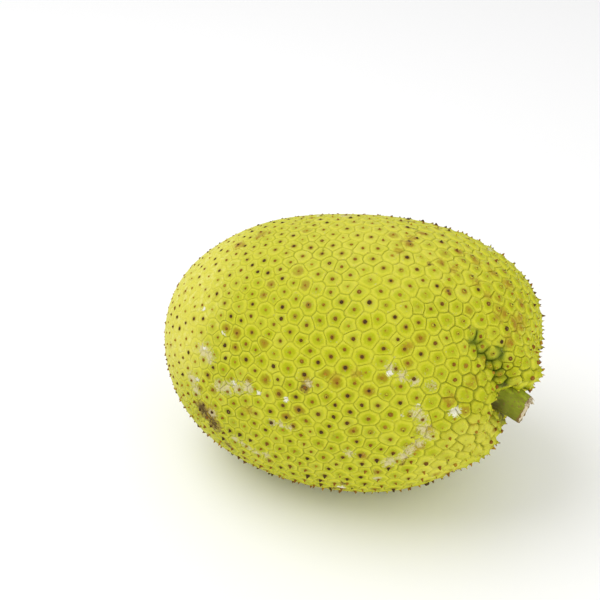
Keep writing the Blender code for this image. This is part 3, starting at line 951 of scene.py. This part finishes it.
def lofted(name, rows):
    """A closed mesh through these rings of points, with a fan over each end."""
    rows = np.asarray(rows)
    count, sides = rows.shape[:2]
    verts = [*rows.reshape(-1, 3), rows[0].mean(axis=0), rows[-1].mean(axis=0)]
    here = np.arange(count * sides).reshape(count, sides)
    after = np.roll(here, -1, axis=1)
    walls = np.stack((here[:-1], after[:-1], after[1:], here[1:]), axis=-1)
    faces = walls.reshape(-1, 4).tolist()
    faces += [(b, a, count * sides) for a, b in zip(here[0], after[0])]
    faces += [(a, b, count * sides + 1) for a, b in zip(here[-1], after[-1])]
    data = bpy.data.meshes.new(name)
    data.from_pydata([tuple(vert) for vert in verts], [], faces)
    return data


def stem_piece(data, finish):
    """Puts this mesh, made in the stem's own frame, where the stem lies, as a piece of its own."""
    store(data, own=[vert.co for vert in data.vertices])
    data.transform(STEM_PLACE)
    mesh = bmesh.new()
    mesh.from_mesh(data)
    bmesh.ops.recalc_face_normals(mesh, faces=mesh.faces)
    mesh.to_mesh(data)
    mesh.free()
    data.shade_smooth()
    data.materials.append(finish)
    piece = put(data.name, data)
    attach(piece, "root")
    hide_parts("stem")


turns = np.linspace(0, 2 * math.pi, STEM_SIDES, endpoint=False)
rim_rag = 0.00018 * np.sin(11 * turns) + 0.00014 * np.sin(17 * turns + 1)  # the cut skin's edge


def stem_bark():
    """The skin of the stem, with a thin rim that is turned in over the cut."""
    rows = [stem_wall(run, turns) for run in np.linspace(0, 1, STEM_RINGS)]
    rows[-1][:, 0] += rim_rag
    lip = stem_wall(1.0, turns, 0.25 * BARK_THICKNESS)
    lip[:, 0] += rim_rag + 0.00012
    inner = stem_wall(1.0, turns, BARK_THICKNESS)
    inner[:, 0] += 0.5 * rim_rag
    well = inner - (2 * CUT_DEPTH, 0, 0)
    return lofted("stem_bark", [*rows, lip, inner, well])


def stem_cut():
    """The pith on the cut: a shallow dish with a back to it, just inside the skin."""
    rows = []
    for share in np.linspace(0.05, 1, CUT_RINGS):
        inset = BARK_THICKNESS * 0.9 + (STEM_RADIUS - BARK_THICKNESS) * (1 - share)
        ring = stem_wall(1.0, turns, inset)
        grain = 0.00012 * np.sin(7 * turns + 9 * share) + 0.0001 * np.sin(31 * share + 3 * turns)
        ring[:, 0] -= CUT_DEPTH * (1.3 - share**2) + grain * share
        rows.append(ring)
    back = stem_wall(1.0, turns, BARK_THICKNESS * 0.9)
    back[:, 0] -= 3 * CUT_DEPTH
    return lofted("stem_cut", [*rows, back])


def stem_rag(rng):
    """Strips of torn skin that stand up from the rim and curl."""
    strips = []
    for index in range(RAG_STRIPS):
        turn = np.interp(index + rng.uniform(-0.3, 0.3), (0, RAG_STRIPS - 1), RAG_SPAN)
        foot = stem_wall(1.0, turn, 0.3 * BARK_THICKNESS) - (0.0006, 0, 0)
        out = np.array((0, math.cos(turn), math.sin(turn)))
        across = np.array((0, -math.sin(turn), math.cos(turn)))
        fullness = math.sin(math.pi * (index + 1) / (RAG_STRIPS + 1)) ** 0.4
        length = rng.uniform(*RAG_LENGTH) * fullness
        curl = rng.uniform(0.1, 1.8)
        sway = rng.uniform(-0.5, 0.5)
        width = rng.uniform(*RAG_WIDTH)
        thick = rng.uniform(*RAG_THICKNESS)
        rows = []
        for step in range(RAG_STEPS + 1):
            share = step / RAG_STEPS
            bend = curl * share
            way = np.array((math.cos(bend), 0, 0)) - 0.8 * math.sin(bend) * out
            middle = foot + length * share * (way + sway * share * across)
            taper = 1 - 0.75 * share**2
            w = width * taper * across
            t = thick * taper * out
            rows.append([middle - w - t, middle + w - t, middle + w + t, middle - w + t])
        strips.append(rows)
    mesh = bmesh.new()
    for rows in strips:
        strip = lofted("strip", rows)
        mesh.from_mesh(strip)
        bpy.data.meshes.remove(strip)
    data = bpy.data.meshes.new("stem_rag")
    mesh.to_mesh(data)
    mesh.free()
    return data


BARK_OLIVE = (0.225, 0.260, 0.011)
# fresh green patches, and painted light: more of them on the stem's upper side
BARK_FRESH_AND_LIT = (0.370, 0.450, 0.022)
BARK_SHADED = (0.060, 0.045, 0.008)
PITH_PALE = (0.610, 0.520, 0.340)
PITH_GREY = (0.420, 0.350, 0.200)
TORN_BROWN = (0.210, 0.110, 0.035)


def bark_finish():
    """Olive-green skin with fresh patches and brown flecks; painted light above, painted shade low
    down at the root.
    """
    material, start, shader = finish_tree("stem skin")
    own = stored(start, "own", "Vector")
    along = own.node("ShaderNodeSeparateXYZ", {0: own})
    aside = along.also("Y") + along.also("Z")
    drawn = own.vector("MULTIPLY", (0.30, 1, 1))
    patches = noise(drawn, 380.0, 3.0, 0.55)
    fibres = noise(drawn, 1500.0, 3.0, 0.6)
    flecks = noise(own, 900.0, 2.0, 0.6)
    # fresh patches, more on the upper side as painted light
    above = aside * 60 + (patches - 0.5) * 4
    # painted shade on the stem's lower side, strongest at the root
    below = aside * -80 + (patches - 0.5) * 1.6
    root = 1 - (along * 60 + (patches - 0.5) * 0.6).within(0.85, 1.35)
    rim = (along * (1 / STEM_LENGTH) + (flecks - 0.5) * 0.10).within(0.955, 0.99)
    coats = (
        (above.within(-0.1, 0.8) * 0.8, BARK_FRESH_AND_LIT),
        (below.within(-0.1, 0.6) * (0.25 + root * 0.65), BARK_SHADED),
        (flecks.within(0.57, 0.66) * 0.6, TORN_BROWN),
        (rim * 0.8, TORN_BROWN),
    )
    feed(shader, "Base Color", coated(start, BARK_OLIVE, coats))
    feed(shader, "Roughness", 0.6)
    feed(shader, "Specular IOR Level", 0.2)
    feed(shader, "Normal", bumped(fibres + flecks * 0.5, 0.0003, 0.7))
    return material


def pith_finish(name, brown):
    """Dried pith, pale and fibrous. The higher the last number, the less of it has browned."""
    material, start, shader = finish_tree(name)
    own = stored(start, "own", "Vector")
    patches = noise(own, 420.0, 4.0, 0.6)
    pores = noise(own, 2300.0)
    coats = (
        (patches.within(0.42, 0.68) * 0.7, PITH_GREY),
        ((patches * 0.5 + pores * 0.5).within(brown, brown + 0.08) * 0.8, TORN_BROWN),
    )
    feed(shader, "Base Color", coated(start, PITH_PALE, coats))
    feed(shader, "Roughness", 0.8)
    feed(shader, "Normal", bumped(pores, 0.0003, 0.8))
    return material


stem_piece(stem_bark(), bark_finish())
stem_piece(stem_cut(), pith_finish("pith", 0.57))
stem_piece(stem_rag(np.random.default_rng(RAG_SEED)), pith_finish("torn skin", 0.48))

# --------------------------------------------------
# The studio. A plain pale floor under white light from all round, with two soft round lamps: a
# key high up on the left, and a fill low down on the right. The camera looks down from the front.

FLOOR_HALF = 4
FLOOR_WHITE = (0.97, 0.97, 0.97)
WORLD_STRENGTH = 0.77
LAMPS_AIM = Vector((0, 0, 0.06))
CAMERA_AZIMUTH = math.radians(15)
CAMERA_ELEVATION = math.radians(35)
CAMERA_DISTANCE = 0.56
CAMERA_PIVOT = Vector((0, 0, 0.067))
CAMERA_AIM = Vector((-0.0207, 0.0090, 0.0877))
CAMERA_LENS = 67.2

floor_data = bpy.data.meshes.new("floor")
floor_corners = [(x * FLOOR_HALF, y * FLOOR_HALF, 0) for x, y in ((-1, -1), (1, -1), (1, 1), (-1, 1))]
floor_data.from_pydata(floor_corners, [], [(0, 1, 2, 3)])
floor = put("floor", floor_data)
floor_finish, _, floor_shader = finish_tree("floor")
feed(floor_shader, "Base Color", (*FLOOR_WHITE, 1))
floor_data.materials.append(floor_finish)

world = bpy.data.worlds.new("studio")
world.use_nodes = True
background = world.node_tree.nodes["Background"]
background.inputs["Color"].default_value = (1, 1, 1, 1)
background.inputs["Strength"].default_value = WORLD_STRENGTH
bpy.context.scene.world = world


def softbox(name, toward, distance, size, power):
    """A round soft lamp, this far out in this direction, that shines back at the fruit."""
    data = bpy.data.lights.new(name, "AREA")
    data.shape = "DISK"
    data.size = size
    data.energy = power
    lamp = put(name, data)
    way = Vector(toward).normalized()
    lamp.location = LAMPS_AIM + distance * way
    lamp.rotation_euler = way.to_track_quat("Z", "Y").to_euler()


softbox("key", toward=(-0.50, -0.10, 0.85), distance=1.3, size=1.2, power=8.2)
softbox("fill", toward=(0.85, -0.50, 0.02), distance=1.3, size=1.0, power=8.2)

toward_camera = Vector((
    math.sin(CAMERA_AZIMUTH) * math.cos(CAMERA_ELEVATION),
    -math.cos(CAMERA_AZIMUTH) * math.cos(CAMERA_ELEVATION),
    math.sin(CAMERA_ELEVATION),
))
camera_data = bpy.data.cameras.new("camera")
camera_data.lens = CAMERA_LENS
camera = put("camera", camera_data)
camera.location = CAMERA_PIVOT + CAMERA_DISTANCE * toward_camera
camera.rotation_euler = (camera.location - CAMERA_AIM).to_track_quat("Z", "Y").to_euler()
bpy.context.scene.camera = camera
bpy.context.scene.view_settings.view_transform = "Standard"
